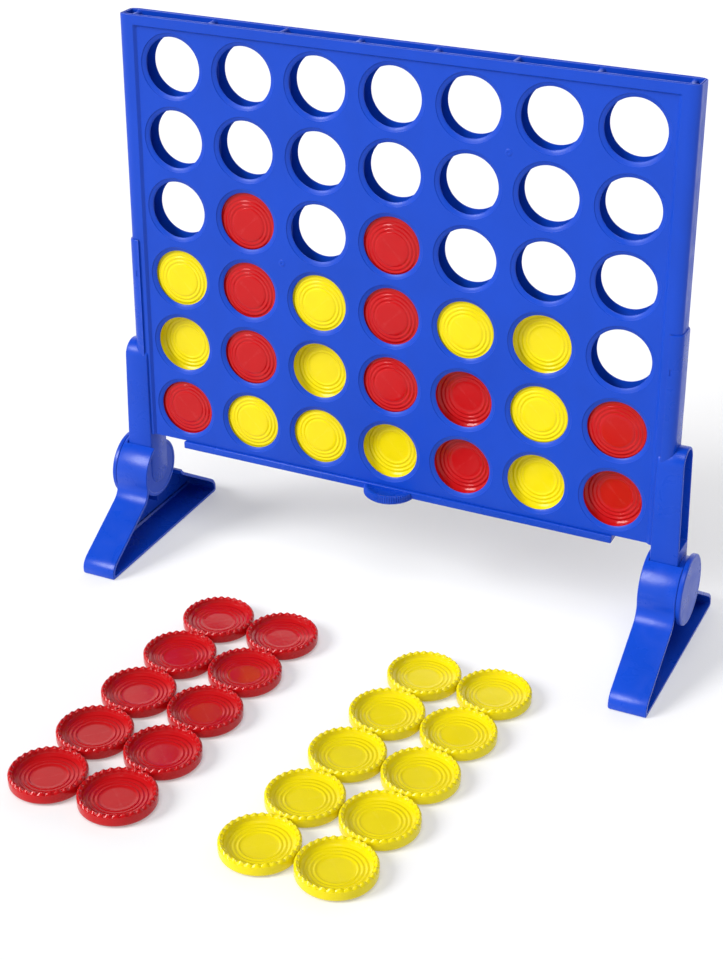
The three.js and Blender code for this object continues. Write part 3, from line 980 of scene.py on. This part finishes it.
def arm_body():
    body = prism_x("arm", stations(
        arch_outline, ARM_INNER_X, ARM_INNER_EDGE, ARM_OUTER_X, ARM_OUTER_EDGE,
    ))
    recess = prism_x("recess", [(x, recess_outline(inset)) for x, inset in RECESS_STATIONS])
    outline = rounded_rectangle(SLOT_LOW, SLOT_HIGH, SLOT_RADIUS)
    slot = prism_x("slot", [(BOARD_HALF_WIDTH + 2, outline), (BOARD_HALF_WIDTH + 8, outline)])
    return leaned(carve(body, cuts=[recess, slot]))


def arm_tongue(outer_x):
    """The round end of the arm that turns in the foot's head."""
    depth = outer_x - ARM_INNER_X - 0.3
    tongue = turned("tongue", [
        (AXIS_RADIUS, 0.5 - depth), (22.4, 0.5 - depth), (23.0, -depth), (24.9, -depth),
        (25.5, 0.6 - depth), (25.5, -0.6), (24.9, 0), (AXIS_RADIUS, 0),
    ], 72)
    return moved(tongue, shift_mm(outer_x, 0, PIVOT) @ quarter_turn("Y"))


def sleeve_side(offset, rear_x):
    """One side of the sleeve seen from above, wrapped round the end of the grid."""
    x, y = BOARD_HALF_WIDTH - END_RADIUS_X, BORDER_Y - END_RADIUS_Y
    front = [(rear_x, -BORDER_Y - offset)]
    for across, forward in reversed(arc((0, 0), 1, 0, 90, END_STEPS)):
        front.append((x + (END_RADIUS_X + offset) * across, -y - (END_RADIUS_Y + offset) * forward))
    return front + [(x, -y) for x, y in reversed(front)]


def sleeve_outline(inset):
    outer = sleeve_side(SLEEVE_THICKNESS - inset * 0.6, SLEEVE_REAR_X + inset)
    inner = sleeve_side(-SLEEVE_OVERLAP, SLEEVE_REAR_X + inset)
    return outer + list(reversed(inner))


def arm_sleeve(top):
    sleeve = prism_z("sleeve", stations(
        sleeve_outline, BOARD_BOTTOM - SLEEVE_BELOW_BOARD, SLEEVE_FOOT, top, SLEEVE_TOP,
    ))
    outline = rounded_rectangle(CATCH_LOW, CATCH_HIGH, CATCH_RADIUS)
    return carve(sleeve, cuts=[prism_z("catch", [(top - drop, outline) for drop in CATCH_BELOW_TOP])])


def arm(word, sign):
    node = f"arm_{word}"
    low, high = box_mm(node)
    outer_x = max(abs(low.x), abs(high.x))
    for part, data, width in (
        ("moulded", arm_body(), ARM_BEVEL), ("sleeve", arm_sleeve(high.z), SLEEVE_BEVEL),
        ("tongue", arm_tongue(outer_x), TONGUE_BEVEL),
    ):
        if sign < 0:
            moved(data, Matrix.Scale(-1, 4, (1, 0, 0)))
        soften(data)
        stands_for = [node] if part == "moulded" else ()
        name, centre = f"{node}_{part}", (0, PLANE_Y, 0)
        bevel(place(data, name, "grid", "leg_blue", LEG_PLASTIC, stands_for, centre), width)


# ---- The feet and their pins ----

FOOT_HALF = 88.5
FOOT_WALL = 3.0
HEAD_RADIUS = 29.0
NECK_RADIUS = 15.0  # of the hollow curve from the head into the sloping flange
FLANGE_SLOPE = math.radians(32.2)
FLANGE_OFFSET = 1.4  # the flange's line passes this far above the pivot
SHOULDER_LENGTH = 7.0
SHOULDER_DROP = 6.0
TOE_RADIUS = 2.0
MOUTH_REAR = -32
MOUTH_FRONT = 117.5
FOOT_WEB_EDGE = [(0, 1.3), (0.35, 0.5), (1.3, 0)]
FOOT_OPEN_EDGE = [(0.5, 0), (0, 0.5)]
FOOT_RIBS_Y = (-17.5, -11.5, 17.5)
FOOT_RIB_HALF = 0.75
FOOT_RIB_LOW, FOOT_RIB_HIGH = -45.0, -30.0
FOOT_RIB_REACH = 12
BOSS_SECTION = [(12.5, 0), (12.5, 0.5), (11.9, 0.9)]
BORE_SECTION = [(8.6, -5), (8.6, 10)]
CAP_THICKNESS = 3.6
PIN_START = 3.4


def foot_outline(inset):
    """The foot seen from its side about the pivot: a round head flaring into a low triangle.
    Inset moves the whole outline inwards."""
    outwards = Vector((-math.cos(FLANGE_SLOPE), -math.sin(FLANGE_SLOPE)))
    normal = Vector((-math.sin(FLANGE_SLOPE), math.cos(FLANGE_SLOPE)))
    rise = FLANGE_OFFSET + NECK_RADIUS
    reach = math.sqrt((HEAD_RADIUS + NECK_RADIUS) ** 2 - rise ** 2)
    centre = normal * rise + outwards * reach
    head_angle = math.degrees(math.atan2(centre.y, centre.x)) % 360
    neck_end = math.degrees(math.atan2(-normal.y, -normal.x)) % 360
    left = arc((0, 0), HEAD_RADIUS - inset, 90, head_angle, 30)
    left += arc(centre, NECK_RADIUS + inset, head_angle - 180, neck_end - 360, 10)[1:]
    tip = FOOT_HALF - inset
    base = -PIVOT + inset
    line = (FLANGE_OFFSET - inset) / normal.y
    slope = math.tan(FLANGE_SLOPE)
    shoulder = (-tip + SHOULDER_LENGTH, line - (tip - SHOULDER_LENGTH) * slope)
    corner = (-tip, line - tip * slope)
    left += [shoulder] + curve(shoulder, corner, (-tip, corner[1] - SHOULDER_DROP), 8)
    left += curve((-tip, base + TOE_RADIUS), (-tip, base), (-tip + TOE_RADIUS, base), 4)
    return left + [(-y, z) for y, z in reversed(left[1:])]


def mouth_outline():
    """The part of the head's wall left open for the arm, from over the front to behind the head."""
    start = math.radians(MOUTH_REAR)
    heel = (HEAD_RADIUS * math.cos(start), HEAD_RADIUS * math.sin(start))
    reach = 2 * HEAD_RADIUS
    return [(0, 0), heel, (reach, heel[1])] + arc((0, 0), reach, 0, MOUTH_FRONT, 12)


def foot(word):
    """A hollow shell open towards +X; both feet are the same moulding."""
    node = f"foot_{word}"
    low, high = box_mm(node)
    floor_x = low.x + FOOT_WALL
    beyond = high.x + 2
    shell = prism_x("foot", stations(foot_outline, low.x, FOOT_WEB_EDGE, high.x, FOOT_OPEN_EDGE))
    pocket = prism_x("pocket", [(x, foot_outline(inset)) for x, inset in (
        (floor_x, FOOT_WALL + 1.5), (floor_x + 1.5, FOOT_WALL), (beyond, FOOT_WALL - 0.4),
    )])
    mouth = prism_x("mouth", [(x, mouth_outline()) for x in (floor_x, beyond)])
    hollow = carve(shell, cuts=[pocket, mouth])
    web_x = floor_x - 0.5
    boss = moved(turned("boss", BOSS_SECTION, 48), shift_mm(web_x, 0, 0) @ quarter_turn("Y"))
    bore = moved(turned("bore", BORE_SECTION, 40), shift_mm(low.x, 0, 0) @ quarter_turn("Y"))
    ribs = []
    for y in FOOT_RIBS_Y:
        rib_low = (web_x, y - FOOT_RIB_HALF, FOOT_RIB_LOW)
        rib_high = (low.x + FOOT_RIB_REACH, y + FOOT_RIB_HALF, FOOT_RIB_HIGH)
        ribs.append(rounded_block("rib", rib_low, rib_high, 0.4))
    data = carve(hollow, adds=[boss, *ribs], cuts=[bore])
    soften(data)
    name, centre = node + "_moulded", (0, PLANE_Y, PIVOT)
    bevel(place(data, name, node, "leg_blue", LEG_PLASTIC, [node], centre), FOOT_BEVEL)


def pivot_pin(word, sign):
    """The pin's broad cap has a softly rounded edge and a shallow ring turned in its face."""
    node = f"pivot_pin_{word}"
    low, high = box_mm(node)
    cap = high.x - low.x - CAP_THICKNESS
    data = turned(node, [
        (AXIS_RADIUS, PIN_START), (7.4, PIN_START), (8.0, PIN_START + 0.6), (8.0, cap - 0.45),
        (28.1, cap - 0.45), (28.5, cap), (28.5, cap + 2.4), (28.3, cap + 3.0), (27.8, cap + 3.4),
        (27.0, cap + 3.6), (25.4, cap + 3.6), (25.0, cap + 3.5), (24.6, cap + 3.5),
        (12.0, cap + 3.45), (AXIS_RADIUS, cap + 3.45),
    ], 96)
    soften(data)
    turn = Matrix.Rotation(sign * QUARTER_TURN, 4, "Y")
    centre = (low.x if sign > 0 else high.x, PLANE_Y, PIVOT)
    place(data, node + "_turned", "grid", "leg_blue", LEG_PLASTIC, [node], centre, turn)


def legs():
    for word, sign in (("left", -1), ("right", 1)):
        arm(word, sign)
        foot(word)
        pivot_pin(word, sign)


# ---- Floor, light and camera ----

FLOOR_REACH = 40.0  # metres, like the two below
FLOOR_DROP = 0.0004
LAMP_DISTANCE = 3
FLOOR_TINTS = ((0.58, 0.58, 0.58, 1), (0.61, 0.61, 0.61, 1))
FLOOR_BAND = (0.3, 0.7)
FLOOR_GLOW = 0.3

# The room's colours: overhead, low down all round, and on the wall behind the game.
ROOM_SHADE = (0.14, 0.14, 0.15, 1)
LOW_SHADE = (0.97, 0.97, 0.97, 1)
WALL_SHADE = (1.7, 1.7, 1.7, 1)

# Name, azimuth, elevation, strength, and the angle the lamp fills. Azimuth 0 is in front of the
# game and 90 to its right.
SUNS = (("key", -42, 33, 3.1, 26), ("fill", 20, 62, 1.3, 30))

CAMERA_PLACE = (0.5579, -1.1021, 0.8354)
CAMERA_AZIMUTH, CAMERA_ELEVATION = 25.21, 25.303
CAMERA_LENS = 71.04
CAMERA_SHIFT_Y = -0.1


def floor():
    """A wide pale sweep under the game."""
    material, n, shader = new_material("floor_paint")
    where = n.add("ShaderNodeTexCoord").outputs["Object"]
    shade = n.span(n.noise(where, 3, detail=3), FLOOR_BAND)
    n.join(n.blend(shade, *FLOOR_TINTS), shader["Base Color"])
    shader["Roughness"].default_value = 0.8
    shader["Specular IOR Level"].default_value = 0.1
    shader["Emission Color"].default_value = WHITE
    shader["Emission Strength"].default_value = FLOOR_GLOW
    corners = [(x * FLOOR_REACH, y * FLOOR_REACH, 0) for x, y in ((-1, -1), (1, -1), (1, 1), (-1, 1))]
    data = bpy.data.meshes.new("floor")
    data.from_pydata(corners, [], [(0, 1, 2, 3)])
    data.materials.append(material)
    sweep = bpy.data.objects.new("floor", data)
    sweep.location.z = -FLOOR_DROP
    bpy.context.scene.collection.objects.link(sweep)


def sky():
    """A studio room: dim overhead, pale low down all round, with a white wall behind the game."""
    world = bpy.data.worlds.new("studio")
    bpy.context.scene.world = world
    world.use_nodes = True
    n = Nodes(world.node_tree)
    split = n.add("ShaderNodeSeparateXYZ")
    n.join(n.add("ShaderNodeTexCoord").outputs["Generated"], split.inputs[0])

    def ramp(axis, band, result=(0.0, 1.0)):
        return n.span(split.outputs[axis], band, result, "SMOOTHSTEP")

    wall = n.combine("MULTIPLY", ramp("Y", (0.1, 0.6)), ramp("Z", (0.5, 0.75), (1.0, 0.0)))
    room = n.blend(ramp("Z", (0.12, 0.32)), LOW_SHADE, ROOM_SHADE)
    n.join(n.blend(wall, room, WALL_SHADE), n.tree.nodes["Background"].inputs["Color"])


def direction_to(azimuth, elevation):
    """Unit vector towards a place round the game, given in degrees."""
    a, e = math.radians(azimuth), math.radians(elevation)
    return Vector((math.sin(a) * math.cos(e), -math.cos(a) * math.cos(e), math.sin(e)))


def sun(name, azimuth, elevation, strength, angle):
    """A soft distant lamp."""
    lamp = bpy.data.lights.new(name, "SUN")
    lamp.energy = strength
    lamp.angle = math.radians(angle)
    holder = bpy.data.objects.new(name, lamp)
    towards = direction_to(azimuth, elevation)
    holder.rotation_euler = towards.to_track_quat("Z", "Y").to_euler()
    holder.location = towards * LAMP_DISTANCE
    bpy.context.scene.collection.objects.link(holder)


def camera():
    data = bpy.data.cameras.new("camera")
    data.sensor_width = 36
    data.lens = CAMERA_LENS
    data.shift_y = CAMERA_SHIFT_Y
    data.clip_start = 0.05
    data.clip_end = 200
    holder = bpy.data.objects.new("camera", data)
    back = direction_to(CAMERA_AZIMUTH, CAMERA_ELEVATION)
    holder.location = CAMERA_PLACE
    holder.rotation_mode = "QUATERNION"
    holder.rotation_quaternion = (-back).to_track_quat("-Z", "Y")
    bpy.context.scene.collection.objects.link(holder)
    bpy.context.scene.camera = holder


def colour_management():
    view = bpy.context.scene.view_settings
    view.view_transform = "Standard"
    view.look = "None"
    view.exposure = 0
    view.gamma = 1


grid_shells()
column_dividers()
side_channels()
pegs()
gate_marks()
discs()
release_bar()
legs()
floor()
sky()
for settings in SUNS:
    sun(*settings)
camera()
colour_management()
